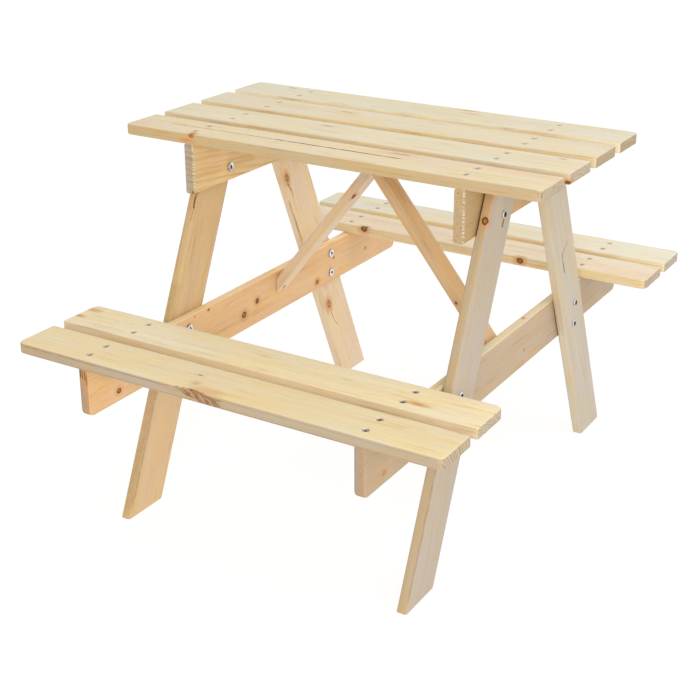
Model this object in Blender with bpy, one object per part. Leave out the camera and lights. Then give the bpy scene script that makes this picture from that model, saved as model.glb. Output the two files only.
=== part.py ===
"""Kids picnic table: four-board tabletop and two two-board benches on splayed legs.

Planed pine boards are screwed down on two top battens and two seat rails. Four
splayed legs are bolted to the outer faces of battens and rails, and two
diagonal braces run from the rails up to the underside of the tabletop.

Units are metres, +Z is up, X runs along the boards and Y across them. The
origin is on the floor, in the middle of the table.
"""

import math

import bmesh
import bpy
from mathutils import Matrix, Vector

# Overall sizes
TABLE_HEIGHT = 0.532
SEAT_HEIGHT = 0.283
OVERALL_DEPTH = 0.818
BOARD_LENGTH = 0.645

# Boards, whose ends overhang the legs; a row's outer corners are rounder than the others
BOARD_WIDTH = 0.070
BOARD_THICKNESS = 0.015
BOARD_GAP = 0.018
BOARD_OUTER_CORNER_RADIUS = 0.010
BOARD_INNER_CORNER_RADIUS = 0.003
BOARD_EDGE_ROUNDING = 0.002
BOARD_OVERHANG = 0.0885
TABLETOP_BOARD_COUNT = 4
BENCH_BOARD_COUNT = 2

# Top battens and seat rails: how far their ends stand back from the boards they carry
BATTEN_WIDTH = 0.072
BATTEN_INSET = 0.003
RAIL_WIDTH = 0.069
RAIL_INSET = 0.003
RAIL_CORNER_RADIUS = 0.010
CROSS_THICKNESS = 0.015
FRAME_EDGE_ROUNDING = 0.003

# Legs: the reaches of a leg's outer edge from the middle, at its foot and at its top
LEG_WIDTH = 0.068
LEG_THICKNESS = 0.015
LEG_FOOT_REACH = 0.328
LEG_TOP_REACH = 0.103

# Braces
BRACE_WIDTH = 0.030
BRACE_THICKNESS = 0.015
BRACE_FOOT_DROP = 0.011
BRACE_TOP_REACH = 0.003
BRACE_EDGE_ROUNDING = 0.0015
RIGHT_BRACE_SHIFT_SHARE = 0.9

# Fits
SEAT_GAP = 0.0003
HOLE_CLEARANCE = 0.0003
CUT_OVERRUN = 0.004

# Connector bolts with button heads
BOLT_DIAMETER = 0.006
BOLT_HEAD_DIAMETER = 0.012
BOLT_HEAD_HEIGHT = 0.0034
BOLT_HEAD_RIM = 0.0006
BOLT_SOCKET_FLATS = 0.005
BOLT_TIP_CHAMFER = 0.0008
BOLT_TIP_SETBACK = 0.0045

# Sleeve nuts with flat flanges
NUT_HEAD_DIAMETER = 0.014
NUT_HEAD_HEIGHT = 0.0022
NUT_HEAD_RIM = 0.0015
NUT_SOCKET_FLATS = 0.004
SLEEVE_WALL = 0.001
SLEEVE_FLOOR = 0.0008
SLEEVE_SETBACK = 0.0045
SOCKET_DEPTH = 0.0018

# Places of the bolts on a leg
TOP_BOLT_RISE = 0.020
TOP_BOLT_OFFSET = 0.009
RAIL_BOLT_SPACING = 0.034
RAIL_BOLT_OFFSET = 0.0015

# Board screws: the seats and pilot holes that they are driven into
BOARD_SCREW_HEAD_DIAMETER = 0.0094
BOARD_SCREW_DIAMETER = 0.005
BOARD_SCREW_SPACING = 0.032
BOARD_SCREW_LENGTH = 0.035
PILOT_DIAMETER = 0.0034

# Brace screws
BRACE_SCREW_HEAD_DIAMETER = 0.008
BRACE_SCREW_DIAMETER = 0.004
BRACE_SCREW_LENGTH = 0.022
BRACE_SCREW_TIP = 0.005
BRACE_SCREW_INSET = 0.008
RECESS_ARM = 0.0046
RECESS_WIDTH = 0.0011
RECESS_DEPTH = 0.0014

# Facets
CORNER_STEPS = 4
EDGE_STEPS = 2
DOME_STEPS = 2
HEAD_STEPS = 14
HOLE_STEPS = 10
PILOT_STEPS = 6
ROUND_PROFILE_SHARE = 0.5

# Colours
PINE_TOP = (0.80, 0.66, 0.43)
PINE_FRAME = (0.76, 0.57, 0.34)
PINE_LEG = (0.74, 0.60, 0.42)
ZINC = (0.72, 0.73, 0.75)

# Derived sizes and places
LEG_OUTER_X = BOARD_LENGTH / 2 - BOARD_OVERHANG
LEG_INNER_X = LEG_OUTER_X - LEG_THICKNESS
CROSS_OUTER_X = LEG_INNER_X - SEAT_GAP
CROSS_INNER_X = CROSS_OUTER_X - CROSS_THICKNESS
CROSS_MIDDLE_X = (CROSS_OUTER_X + CROSS_INNER_X) / 2
BATTEN_TOP = TABLE_HEIGHT - BOARD_THICKNESS - SEAT_GAP
BATTEN_MIDDLE = BATTEN_TOP - BATTEN_WIDTH / 2
RAIL_TOP = SEAT_HEIGHT - BOARD_THICKNESS - SEAT_GAP
RAIL_MIDDLE = RAIL_TOP - RAIL_WIDTH / 2
BOARD_PITCH = BOARD_WIDTH + BOARD_GAP
LEG_SPLAY = math.atan2(LEG_FOOT_REACH - LEG_TOP_REACH, BATTEN_TOP)
LEG_CUT_WIDTH = LEG_WIDTH / math.cos(LEG_SPLAY)
BOLT_REACH = LEG_THICKNESS + CROSS_THICKNESS - BOLT_TIP_SETBACK
SLEEVE_LENGTH = CROSS_THICKNESS - SLEEVE_SETBACK
SLEEVE_BORE = BOLT_DIAMETER + 2 * HOLE_CLEARANCE
SLEEVE_DIAMETER = SLEEVE_BORE + 2 * SLEEVE_WALL


def clear_scene():
    for item in list(bpy.data.objects):
        bpy.data.objects.remove(item, do_unlink=True)


def make_material(name, colour, roughness, metallic=0.0):
    material = bpy.data.materials.new(name)
    material.use_nodes = True
    shader = material.node_tree.nodes["Principled BSDF"]
    shader.inputs["Base Color"].default_value = (*colour, 1.0)
    shader.inputs["Roughness"].default_value = roughness
    shader.inputs["Metallic"].default_value = metallic
    material.diffuse_color = (*colour, 1.0)
    return material


def make_empty(name, parent=None):
    empty = bpy.data.objects.new(name, None)
    bpy.context.scene.collection.objects.link(empty)
    empty.parent = parent
    return empty


def place(name, mesh, matrix, parent=None, material=None):
    """Adds an object that shows the mesh at the matrix."""
    item = bpy.data.objects.new(name, mesh)
    bpy.context.scene.collection.objects.link(item)
    item.parent = parent
    item.matrix_local = matrix
    if material is not None:
        item.data.materials.clear()
        item.data.materials.append(material)
    return item


def as_mesh(name, shape, sharp_angle=None):
    """Closes a bmesh into a mesh with its faces turned outwards."""
    bmesh.ops.recalc_face_normals(shape, faces=shape.faces)
    mesh = bpy.data.meshes.new(name)
    shape.to_mesh(mesh)
    shape.free()
    if sharp_angle is not None:
        mesh.shade_smooth()
        mesh.set_sharp_from_angle(angle=sharp_angle)
    return mesh


def rounded_outline(corners, radii):
    """Rounds each corner of a convex anticlockwise outline by its radius; zero leaves it."""
    points = []
    count = len(corners)
    for index, (corner, radius) in enumerate(zip(corners, radii)):
        here = Vector(corner)
        if not radius:
            points.append(here)
            continue
        back = (Vector(corners[index - 1]) - here).normalized()
        ahead = (Vector(corners[(index + 1) % count]) - here).normalized()
        half = back.angle(ahead) / 2
        centre = here + (back + ahead).normalized() * (radius / math.sin(half))
        start = here + back * (radius / math.tan(half)) - centre
        sweep = math.pi - 2 * half
        for step in range(CORNER_STEPS + 1):
            turn = Matrix.Rotation(sweep * step / CORNER_STEPS, 2)
            points.append(centre + turn @ start)
    return points


def rectangle(length, width):
    half_length = length / 2
    half_width = width / 2
    return [
        (-half_length, -half_width),
        (half_length, -half_width),
        (half_length, half_width),
        (-half_length, half_width),
    ]


def runs_along(edge, grain):
    start, end = (vert.co.xy for vert in edge.verts)
    return abs((end - start).normalized().dot(grain)) > 0.99


def plate(name, outline, thickness, rounding, grain=None):
    """Extrudes an outline in XY, centred on its thickness, and rounds its arrises.

    Where a grain direction is given, only the arrises along it are rounded, and the
    sawn ends stay sharp.
    """
    shape = bmesh.new()
    rim = [shape.verts.new((x, y, -thickness / 2)) for x, y in outline]
    floor = shape.faces.new(rim)
    raised = bmesh.ops.extrude_face_region(shape, geom=[floor])
    moved = [item for item in raised["geom"] if isinstance(item, bmesh.types.BMVert)]
    bmesh.ops.translate(shape, verts=moved, vec=(0, 0, thickness))
    bmesh.ops.recalc_face_normals(shape, faces=shape.faces)
    flat = [face for face in shape.faces if abs(face.normal.z) > face.normal.xy.length]
    arrises = {edge for face in flat for edge in face.edges}
    if grain is not None:
        arrises = {edge for edge in arrises if runs_along(edge, grain.normalized())}
    bmesh.ops.bevel(
        shape,
        geom=list(arrises),
        offset=rounding,
        offset_type="OFFSET",
        segments=EDGE_STEPS,
        profile=ROUND_PROFILE_SHARE,
        affect="EDGES",
    )
    return as_mesh(name, shape, math.radians(35))


def turned(name, profile, steps):
    """Revolves (radius, height) points about Z; the first and last lie on the axis."""
    shape = bmesh.new()
    rim = [shape.verts.new((radius, 0, height)) for radius, height in profile]
    edges = [shape.edges.new(ends) for ends in zip(rim, rim[1:])]
    bmesh.ops.spin(
        shape,
        geom=rim + edges,
        cent=(0, 0, 0),
        axis=(0, 0, 1),
        angle=2 * math.pi,
        steps=steps,
        use_merge=True,
    )
    bmesh.ops.remove_doubles(shape, verts=shape.verts, dist=HOLE_CLEARANCE / 100)
    return as_mesh(name, shape, math.radians(35))


def prism(name, outline, bottom, top):
    """Extrudes an outline in XY from one height to another."""
    shape = bmesh.new()
    floor = shape.faces.new([shape.verts.new((x, y, bottom)) for x, y in outline])
    raised = bmesh.ops.extrude_face_region(shape, geom=[floor])
    moved = [item for item in raised["geom"] if isinstance(item, bmesh.types.BMVert)]
    bmesh.ops.translate(shape, verts=moved, vec=(0, 0, top - bottom))
    return as_mesh(name, shape)


def cut(mesh, cutters):
    """Returns the mesh with the cutters, given as (mesh, matrix), taken away from it."""
    blank = place(mesh.name + "_blank", mesh, Matrix.Identity(4))
    helpers = []
    for index, (tool_mesh, matrix) in enumerate(cutters):
        tool = place(f"{mesh.name}_cutter_{index}", tool_mesh, matrix)
        tool.hide_render = True
        tool.display_type = "WIRE"
        helpers.append(tool)
        drill = blank.modifiers.new(tool.name, "BOOLEAN")
        drill.operation = "DIFFERENCE"
        drill.solver = "EXACT"
        drill.object = tool
    graph = bpy.context.evaluated_depsgraph_get()
    finished = bpy.data.meshes.new_from_object(blank.evaluated_get(graph))
    finished.name = mesh.name
    for item in [blank, *helpers]:
        bpy.data.objects.remove(item, do_unlink=True)
    finished.shade_smooth()
    finished.set_sharp_from_angle(angle=math.radians(35))
    return finished


def upright(location, facing=1):
    """Stands a plate drawn in XY across the table: its X runs along facing * Y, its Y up."""
    axes = Matrix(((0, 0, 1), (1, 0, 0), (0, 1, 0))).to_4x4()
    if facing < 0:
        axes = Matrix.Rotation(math.pi, 4, "Z") @ axes
    return Matrix.Translation(location) @ axes


def along(point, direction):
    """A matrix at the point whose Z axis points along the direction."""
    turn = Vector(direction).to_track_quat("Z", "Y").to_matrix().to_4x4()
    return Matrix.Translation(point) @ turn


def hole_mesh(name, diameter, depth, steps=HOLE_STEPS):
    """A drill along Z that enters at the origin and goes down by the depth."""
    radius = diameter / 2
    return turned(
        name,
        [(0, CUT_OVERRUN), (radius, CUT_OVERRUN), (radius, -depth), (0, -depth)],
        steps,
    )


def countersink_mesh(name, head_diameter, shank_diameter, depth, steps=HOLE_STEPS):
    """A countersink drill along Z: its mouth is at the origin, its tip below."""
    mouth = head_diameter / 2 + HOLE_CLEARANCE
    bore = shank_diameter / 2 + HOLE_CLEARANCE
    return turned(
        name,
        [
            (0, CUT_OVERRUN),
            (mouth + CUT_OVERRUN, CUT_OVERRUN),
            (bore, bore - mouth),
            (bore, -depth),
            (0, -depth),
        ],
        steps,
    )


def board_rows(count):
    """Distances of the board centres from the middle of a row of boards."""
    return [(index - (count - 1) / 2) * BOARD_PITCH for index in range(count)]


def outer_sides(count):
    """The side of each board that is an outer edge of its row: -1 front, 1 rear, 0 none."""
    return [(index == count - 1) - (index == 0) for index in range(count)]


# Boards of the tabletop and the benches
def board_mesh(name, outer_side, extra_cutters=()):
    """One board with rounded corners, eased edges and four countersunk screw holes."""
    corners = rectangle(BOARD_LENGTH, BOARD_WIDTH)
    radii = [
        BOARD_OUTER_CORNER_RADIUS if y * outer_side > 0 else BOARD_INNER_CORNER_RADIUS
        for _, y in corners
    ]
    outline = rounded_outline(corners, radii)
    blank = plate(name, outline, BOARD_THICKNESS, BOARD_EDGE_ROUNDING)
    seat = countersink_mesh(
        name + "_seat",
        BOARD_SCREW_HEAD_DIAMETER,
        BOARD_SCREW_DIAMETER,
        BOARD_THICKNESS + CUT_OVERRUN,
    )
    cutters = [
        (seat, Matrix.Translation((side * CROSS_MIDDLE_X, across, BOARD_THICKNESS / 2)))
        for side in (-1, 1)
        for across in (-BOARD_SCREW_SPACING / 2, BOARD_SCREW_SPACING / 2)
    ]
    return cut(blank, cutters + list(extra_cutters))


# Battens and rails
def screw_rows(board_centres):
    """Places of the board screws along a batten or a rail."""
    return [
        centre + side * BOARD_SCREW_SPACING / 2
        for centre in board_centres
        for side in (-1, 1)
    ]


def drilled_cross_piece(name, blank, width, screw_places, bolt_places, more=()):
    """Drills a batten or rail, X along its length and Y up, for its screws and sleeves."""
    bolt_hole = hole_mesh(
        name + "_bolt_hole",
        SLEEVE_DIAMETER + 2 * HOLE_CLEARANCE,
        CROSS_THICKNESS + CUT_OVERRUN,
    )
    pilot = hole_mesh(
        name + "_pilot",
        PILOT_DIAMETER,
        BOARD_SCREW_LENGTH - BOARD_THICKNESS,
        PILOT_STEPS,
    )
    cutters = [
        (bolt_hole, Matrix.Translation((x, y, CROSS_THICKNESS / 2)))
        for x, y in bolt_places
    ]
    cutters += [(pilot, along((x, width / 2, 0), (0, 1, 0))) for x in screw_places]
    return cut(blank, cutters + list(more))


def batten_blank(length):
    """A top batten with rounded arrises and sawn ends."""
    outline = rectangle(length, BATTEN_WIDTH)
    grain = Vector((1, 0))
    return plate("top_batten", outline, CROSS_THICKNESS, FRAME_EDGE_ROUNDING, grain)


def rail_blank(name, length):
    """A seat rail whose lower corners are rounded where it passes under the benches."""
    radii = [RAIL_CORNER_RADIUS, RAIL_CORNER_RADIUS, 0, 0]
    outline = rounded_outline(rectangle(length, RAIL_WIDTH), radii)
    return plate(name, outline, CROSS_THICKNESS, FRAME_EDGE_ROUNDING)


# Legs
def leg_edge(height):
    """Distance of a leg's outer edge from the middle of the table at a height."""
    return LEG_FOOT_REACH - math.tan(LEG_SPLAY) * height


def leg_centre(height):
    return leg_edge(height) - LEG_CUT_WIDTH / 2


def bolt_layout():
    """(name, distance from the middle, height) of the bolts through each leg."""
    top_height = BATTEN_TOP - BATTEN_WIDTH + TOP_BOLT_RISE
    rail_distance = leg_centre(RAIL_MIDDLE) + RAIL_BOLT_OFFSET
    return [
        ("top", leg_centre(top_height) - TOP_BOLT_OFFSET, top_height),
        ("rail_upper", rail_distance, RAIL_MIDDLE + RAIL_BOLT_SPACING / 2),
        ("rail_lower", rail_distance, RAIL_MIDDLE - RAIL_BOLT_SPACING / 2),
    ]


def leg_mesh():
    """A leg drawn in XY: X away from the middle of the table, Y up, Y zero at the floor.

    Its foot and its top are sawn level.
    """
    foot = LEG_FOOT_REACH
    top = leg_edge(BATTEN_TOP)
    outline = [
        (foot - LEG_CUT_WIDTH, 0),
        (foot, 0),
        (top, BATTEN_TOP),
        (top - LEG_CUT_WIDTH, BATTEN_TOP),
    ]
    grain = Vector((top - foot, BATTEN_TOP))
    blank = plate("leg", outline, LEG_THICKNESS, FRAME_EDGE_ROUNDING, grain)
    bolt_hole = hole_mesh(
        "leg_bolt_hole",
        BOLT_DIAMETER + 2 * HOLE_CLEARANCE,
        LEG_THICKNESS + CUT_OVERRUN,
    )
    cutters = [
        (bolt_hole, Matrix.Translation((distance, height, LEG_THICKNESS / 2)))
        for _, distance, height in bolt_layout()
    ]
    return cut(blank, cutters)


# Bolts, nuts and screws
def socket_cutter(flats, head_height):
    """A hexagonal key socket that goes down into the crown of a head."""
    radius = flats / 2 / math.cos(math.pi / 6)
    turns = [index * math.pi / 3 for index in range(6)]
    outline = [(radius * math.cos(turn), radius * math.sin(turn)) for turn in turns]
    tool = prism("socket", outline, -SOCKET_DEPTH, CUT_OVERRUN)
    return tool, Matrix.Translation((0, 0, head_height))


def head_profile(diameter, height, rim):
    """A domed head: an arc from the crown down to the rim, with its seat at zero."""
    radius = diameter / 2
    crown = height - rim
    sphere = (radius**2 + crown**2) / (2 * crown)
    reach = math.asin(radius / sphere)
    profile = []
    for step in range(DOME_STEPS + 1):
        turn = reach * step / DOME_STEPS
        drop = sphere * (1 - math.cos(turn))
        profile.append((sphere * math.sin(turn), height - drop))
    profile.append((radius, 0))
    return profile


def bolt_mesh():
    """Button-head bolt along Z: the head's seat is at the origin, the shank below."""
    shank = BOLT_DIAMETER / 2
    head = head_profile(BOLT_HEAD_DIAMETER, BOLT_HEAD_HEIGHT, BOLT_HEAD_RIM)
    profile = [
        *head,
        (shank, 0),
        (shank, BOLT_TIP_CHAMFER - BOLT_REACH),
        (shank - BOLT_TIP_CHAMFER, -BOLT_REACH),
        (0, -BOLT_REACH),
    ]
    blank = turned("connector_bolt", profile, HEAD_STEPS)
    return cut(blank, [socket_cutter(BOLT_SOCKET_FLATS, BOLT_HEAD_HEIGHT)])


def nut_mesh():
    """Sleeve nut along Z: the flange's seat is at the origin, the sleeve below it."""
    sleeve = SLEEVE_DIAMETER / 2
    bore = SLEEVE_BORE / 2
    head = head_profile(NUT_HEAD_DIAMETER, NUT_HEAD_HEIGHT, NUT_HEAD_RIM)
    profile = [
        *head,
        (sleeve, 0),
        (sleeve, -SLEEVE_LENGTH),
        (bore, -SLEEVE_LENGTH),
        (bore, -SLEEVE_FLOOR),
        (0, -SLEEVE_FLOOR),
    ]
    blank = turned("sleeve_nut", profile, HEAD_STEPS)
    return cut(blank, [socket_cutter(NUT_SOCKET_FLATS, NUT_HEAD_HEIGHT)])


def plus_outline(arm, width):
    """Outline of a plus sign with arms of this overall length and width."""
    long = arm / 2
    short = width / 2
    quarter = [Vector((long, -short)), Vector((long, short)), Vector((short, short))]
    points = []
    for turn in range(4):
        spin = Matrix.Rotation(turn * math.pi / 2, 2)
        points += [spin @ point for point in quarter]
    return points


def brace_screw_mesh():
    """Countersunk wood screw along Z: the head's face is at the origin, the tip below."""
    head = BRACE_SCREW_HEAD_DIAMETER / 2
    shank = BRACE_SCREW_DIAMETER / 2
    blank = turned(
        "brace_screw",
        [
            (0, 0),
            (head, 0),
            (shank, shank - head),
            (shank, BRACE_SCREW_TIP - BRACE_SCREW_LENGTH),
            (0, -BRACE_SCREW_LENGTH),
        ],
        HOLE_STEPS,
    )
    recess = prism(
        "recess",
        plus_outline(RECESS_ARM, RECESS_WIDTH),
        -RECESS_DEPTH,
        CUT_OVERRUN,
    )
    return cut(blank, [(recess, Matrix.Identity(4))])


# Braces
def brace_layout():
    """Outline corners of the right brace in XZ, its slope, and its two screws."""
    foot_x = CROSS_INNER_X - SEAT_GAP
    foot_z = RAIL_TOP - BRACE_FOOT_DROP
    top_x = -BRACE_TOP_REACH
    slope = math.atan2(BATTEN_TOP - foot_z, foot_x - top_x)
    lower_z = foot_z - BRACE_THICKNESS / math.cos(slope)
    lower_x = top_x - BRACE_THICKNESS / math.sin(slope)
    corners = [
        (foot_x, lower_z),
        (foot_x, foot_z),
        (top_x, BATTEN_TOP),
        (lower_x, BATTEN_TOP),
    ]
    run = Vector((math.cos(slope), -math.sin(slope)))
    into = Vector((math.sin(slope), math.cos(slope)))
    foot_screw = Vector(corners[0]) - run * BRACE_SCREW_INSET
    top_screw = Vector(corners[3]) + run * BRACE_SCREW_INSET
    return corners, into, {"foot": foot_screw, "top": top_screw}


def brace_screw_matrices(side, across):
    """Matrices of a brace's screws: Z points out of the wood, back along the screw."""
    _, into, screws = brace_layout()
    outward = Vector((-into.x * side, 0, -into.y))
    sunk = outward * -SEAT_GAP
    return {
        end: along(Vector((point.x * side, across, point.y)) + sunk, outward)
        for end, point in screws.items()
    }


def brace_screw_drill():
    return countersink_mesh(
        "brace_screw_drill",
        BRACE_SCREW_HEAD_DIAMETER,
        BRACE_SCREW_DIAMETER,
        BRACE_SCREW_LENGTH + HOLE_CLEARANCE,
    )


def brace_mesh(side):
    """A brace drawn with its X along world X and its Y up, as thick as BRACE_WIDTH."""
    corners, _, _ = brace_layout()
    outline = [(x * side, z) for x, z in corners]
    if side < 0:
        outline.reverse()
    name = "brace_right" if side > 0 else "brace_left"
    blank = plate(name, outline, BRACE_WIDTH, BRACE_EDGE_ROUNDING)
    to_plate = Matrix(((1, 0, 0), (0, 0, 1), (0, -1, 0))).to_4x4()
    cutters = [
        (brace_screw_drill(), to_plate @ matrix)
        for matrix in brace_screw_matrices(side, 0).values()
    ]
    return cut(blank, cutters)


def build():
    clear_scene()
    pine_top = make_material("pine_top", PINE_TOP, 0.55)
    pine_frame = make_material("pine_frame", PINE_FRAME, 0.6)
    pine_leg = make_material("pine_leg", PINE_LEG, 0.6)
    zinc = make_material("zinc", ZINC, 0.35, 1.0)
    table = make_empty("picnic_table")
    tabletop = make_empty("tabletop", table)
    benches = make_empty("benches", table)
    frames = make_empty("frames", table)

    top_rows = board_rows(TABLETOP_BOARD_COUNT)
    bench_rows = board_rows(BENCH_BOARD_COUNT)
    bench_width = bench_rows[-1] - bench_rows[0] + BOARD_WIDTH
    bench_centre = OVERALL_DEPTH / 2 - bench_width / 2
    seat_rows = [side * bench_centre + row for side in (-1, 1) for row in bench_rows]

    # Each brace stands under its own board next to the middle gap
    brace_room = (BOARD_WIDTH - BRACE_WIDTH) / 2
    front_row = max(row for row in top_rows if row < 0)
    rear_row = min(row for row in top_rows if row > 0)
    brace_rows = {-1: rear_row, 1: front_row + RIGHT_BRACE_SHIFT_SHARE * brace_room}
    brace_screws = {
        side: brace_screw_matrices(side, across) for side, across in brace_rows.items()
    }

    # Tabletop boards
    plain_boards = {side: board_mesh("board", side) for side in (-1, 0, 1)}
    top_height = TABLE_HEIGHT - BOARD_THICKNESS / 2
    top_sides = outer_sides(TABLETOP_BOARD_COUNT)
    for number, (row, outer_side) in enumerate(zip(top_rows, top_sides), 1):
        here = Matrix.Translation((0, row, top_height))
        pilots = [
            (brace_screw_drill(), here.inverted() @ brace_screws[side]["top"])
            for side, across in brace_rows.items()
            if abs(across - row) < BOARD_WIDTH / 2
        ]
        mesh = plain_boards[outer_side]
        if pilots:
            mesh = board_mesh(f"tabletop_board_{number}", outer_side, pilots)
        place(f"tabletop_board_{number}", mesh, here, tabletop, pine_top)

    # Bench boards
    seat_height = SEAT_HEIGHT - BOARD_THICKNESS / 2
    seat_names = ["front_outer", "front_inner", "rear_inner", "rear_outer"]
    seat_sides = outer_sides(BENCH_BOARD_COUNT) * 2
    for name, row, outer_side in zip(seat_names, seat_rows, seat_sides):
        here = Matrix.Translation((0, row, seat_height))
        place(f"bench_board_{name}", plain_boards[outer_side], here, benches, pine_top)

    # Battens, rails and legs of the two frames
    tabletop_width = top_rows[-1] - top_rows[0] + BOARD_WIDTH
    batten_length = tabletop_width - 2 * BATTEN_INSET
    rail_length = OVERALL_DEPTH - 2 * RAIL_INSET
    bolts = bolt_layout()
    batten_bolts = [
        (end * distance, height - BATTEN_MIDDLE)
        for label, distance, height in bolts
        for end in (-1, 1)
        if label == "top"
    ]
    rail_bolts = [
        (end * distance, height - RAIL_MIDDLE)
        for label, distance, height in bolts
        for end in (-1, 1)
        if label != "top"
    ]
    batten = drilled_cross_piece(
        "top_batten",
        batten_blank(batten_length),
        BATTEN_WIDTH,
        screw_rows(top_rows),
        batten_bolts,
    )
    leg = leg_mesh()
    bolt = bolt_mesh()
    nut = nut_mesh()
    screw = brace_screw_mesh()
    for side, side_name in ((-1, "left"), (1, "right")):
        cross_x = side * CROSS_MIDDLE_X
        batten_place = upright((cross_x, 0, BATTEN_MIDDLE))
        place(f"top_batten_{side_name}", batten, batten_place, frames, pine_frame)
        rail_place = upright((cross_x, 0, RAIL_MIDDLE))
        foot_screw = brace_screws[side]["foot"]
        rail = drilled_cross_piece(
            f"seat_rail_{side_name}",
            rail_blank(f"seat_rail_{side_name}", rail_length),
            RAIL_WIDTH,
            screw_rows(seat_rows),
            rail_bolts,
            [(brace_screw_drill(), rail_place.inverted() @ foot_screw)],
        )
        place(f"seat_rail_{side_name}", rail, rail_place, frames, pine_frame)
        for end, end_name in ((-1, "front"), (1, "rear")):
            corner = f"{end_name}_{side_name}"
            leg_x = side * (LEG_OUTER_X + LEG_INNER_X) / 2
            leg_place = upright((leg_x, 0, 0), end)
            place(f"leg_{corner}", leg, leg_place, frames, pine_leg)
            for label, distance, height in bolts:
                head_seat = (side * (LEG_OUTER_X + SEAT_GAP), end * distance, height)
                nut_seat = (side * (CROSS_INNER_X - SEAT_GAP), end * distance, height)
                outward = along(head_seat, (side, 0, 0))
                inward = along(nut_seat, (-side, 0, 0))
                place(f"bolt_{label}_{corner}", bolt, outward, frames, zinc)
                place(f"sleeve_nut_{label}_{corner}", nut, inward, frames, zinc)

        # Diagonal brace of this side, with a screw at each end
        across = brace_rows[side]
        turn = Matrix.Rotation(math.pi / 2, 4, "X")
        brace_place = Matrix.Translation((0, across, 0)) @ turn
        place(f"brace_{side_name}", brace_mesh(side), brace_place, frames, pine_frame)
        for end_name, matrix in brace_screws[side].items():
            place(f"brace_screw_{end_name}_{side_name}", screw, matrix, frames, zinc)


build()
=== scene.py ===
"""Looks of the kids picnic table: pale pine, zinc fasteners, white studio and camera."""

import math
import random
from dataclasses import dataclass
from itertools import product

import bmesh
import bpy
from mathutils import Matrix, Vector


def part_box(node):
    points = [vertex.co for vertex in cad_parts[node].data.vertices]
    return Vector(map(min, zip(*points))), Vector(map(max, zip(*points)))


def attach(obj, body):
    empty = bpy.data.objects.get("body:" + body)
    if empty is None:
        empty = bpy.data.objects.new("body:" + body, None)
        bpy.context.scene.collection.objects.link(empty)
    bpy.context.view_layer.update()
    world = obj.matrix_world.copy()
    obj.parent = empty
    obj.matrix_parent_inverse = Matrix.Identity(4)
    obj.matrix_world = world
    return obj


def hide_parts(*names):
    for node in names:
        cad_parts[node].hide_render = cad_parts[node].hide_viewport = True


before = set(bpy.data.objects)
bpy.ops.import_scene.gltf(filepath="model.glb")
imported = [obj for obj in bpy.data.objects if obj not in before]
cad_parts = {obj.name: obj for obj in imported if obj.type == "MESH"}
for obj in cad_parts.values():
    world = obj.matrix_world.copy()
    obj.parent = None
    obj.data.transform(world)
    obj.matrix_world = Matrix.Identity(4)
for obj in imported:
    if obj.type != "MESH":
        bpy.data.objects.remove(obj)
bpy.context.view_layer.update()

MM = 0.001
IN_PLACE = Matrix.Identity(4)

# Shapes that the frame's boxes don't give
OUTER_CORNER_RADIUS = 10 * MM
INNER_CORNER_RADIUS = 3 * MM
BOARD_EDGE_ROUNDING = 2 * MM
FRAME_EDGE_ROUNDING = 3 * MM
RAIL_CORNER_RADIUS = 10 * MM
LEG_TOP_REACH = 103 * MM
LEG_WIDTH = 68 * MM
BRACE_THICKNESS = 15 * MM
BRACE_FOOT_DROP = 11 * MM
BRACE_TOP_REACH = 3 * MM
BRACE_EDGE_ROUNDING = 1.5 * MM
SLEEVE_BORE = 9 * MM
BOLT_BORE = 6.6 * MM
SEAT_GAP = 0.3 * MM
OVERRUN = 4 * MM
FRONT_OF_ROW = ("tabletop_board_1", "bench_board_front_outer", "bench_board_rear_inner")
REAR_OF_ROW = ("tabletop_board_4", "bench_board_front_inner", "bench_board_rear_outer")

# Torn wood: least and most of each hollow
END_BITE_LENGTHS = (1.5 * MM, 6 * MM)
END_BITE_DEPTHS = (0.3 * MM, 1.3 * MM)
BARK_BITE_LENGTHS = (4 * MM, 9 * MM)
BARK_BITE_DEPTHS = (0.8 * MM, 1.8 * MM)
BARK_START = -18 * MM
BARK_END = 16 * MM

# Fasteners
SCREW_SPACING = 32 * MM
SCREW_HEAD = 9.4 * MM
SCREW_SHANK = 5 * MM
SCREW_LENGTH = 35 * MM
SCREW_DISH = 0.25 * MM
SCREW_SINK = 0.8 * MM
BRACE_SCREW_HEAD = 8 * MM
BRACE_SCREW_SHANK = 4 * MM
BRACE_SCREW_LENGTH = 22 * MM
BRACE_SCREW_INSET = 8 * MM
BOLT_HEAD = 12 * MM
BOLT_HEAD_HEIGHT = 3.4 * MM
BOLT_SHANK = 6 * MM
BOLT_SOCKET = 6.2 * MM
NUT_HEAD = 14 * MM
NUT_HEAD_HEIGHT = 2.2 * MM
NUT_SOCKET = 5 * MM
NUT_SLEEVE = 8.4 * MM
NUT_COLLAR = 1.5 * MM
BOLT_RIM = 0.6 * MM
NUT_RIM = 1.5 * MM
SHANK_BEVEL = 0.6 * MM
KEY_BEVEL = 0.55 * MM
KEY_FLOOR = 0.4 * MM

# Fineness of the meshes
CORNER_STEPS = 10
EDGE_STEPS = 4
TURN_STEPS = 48
HOLE_STEPS = 32
DOME_STEPS = 8
SHARP_ANGLE = math.radians(30)

# Seeds of the random draws
SCREW_SEED, BOLT_SEED, BARK_SEED = 11, 5, 3
CROSS_SEED, LEG_SEED, BRACE_SEED, END_SEED = 20, 40, 50, 60

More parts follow.
